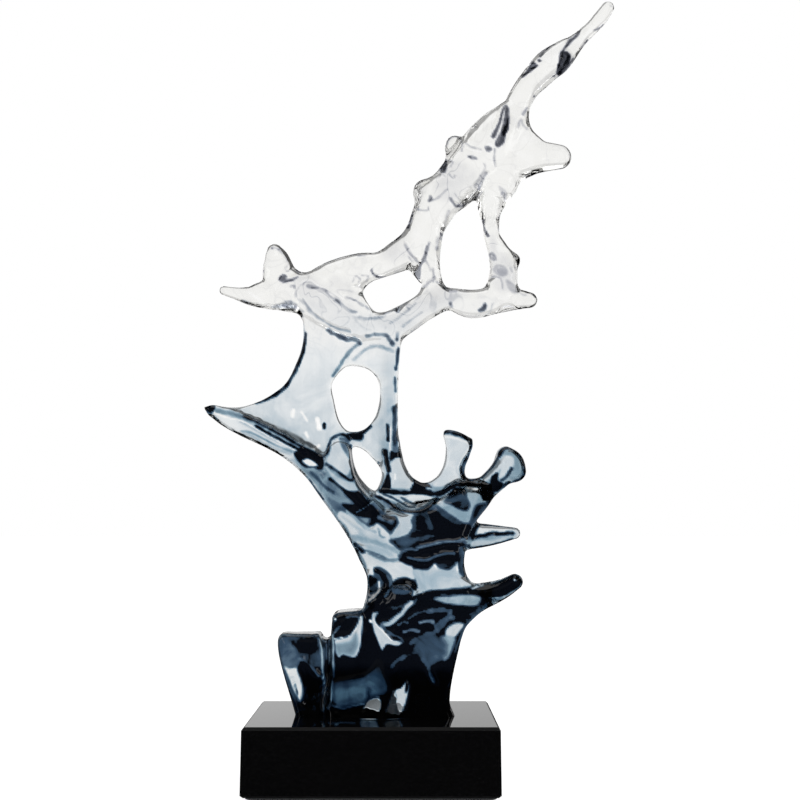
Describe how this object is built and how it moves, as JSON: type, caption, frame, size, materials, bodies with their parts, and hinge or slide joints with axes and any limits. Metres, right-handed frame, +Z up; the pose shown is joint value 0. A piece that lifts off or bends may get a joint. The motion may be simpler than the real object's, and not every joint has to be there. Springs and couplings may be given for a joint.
{
  "type": "resin abstract sculpture",
  "caption": "Free-form cast resin sculpture, tinted navy at the foot and fading to clear at a slanting tip, fixed to a polished black stone plinth.",
  "frame": {"origin": "middle of the felt's underside, which is the face that the object stands on", "axes": "+Z up, -Y out of the front, +X to the right seen from the front, towards the side that the tip leans to"},
  "size_m": [0.4168, 0.12, 0.7867],
  "materials": {
    "felt": "pressed felt",
    "stone": "polished",
    "adhesive": "clear epoxy",
    "resin": "polished, tinted navy below and clear above",
    "black_steel": "black oxide",
    "zinc_steel": "zinc plated"
  },
  "bodies": {
    "root": {"felt_sheet": "felt", "plinth_block": "stone", "adhesive_layer": "adhesive", "resin_casting": "resin", "flat_washer_1": "zinc_steel", "flat_washer_2": "zinc_steel", "flat_washer_3": "zinc_steel", "lock_washer_1": "zinc_steel", "lock_washer_2": "zinc_steel", "lock_washer_3": "zinc_steel", "bolt_1": "black_steel", "bolt_2": "black_steel", "bolt_3": "black_steel", "insert_1": "zinc_steel", "insert_2": "zinc_steel", "insert_3": "zinc_steel"}
  },
  "joints": []
}
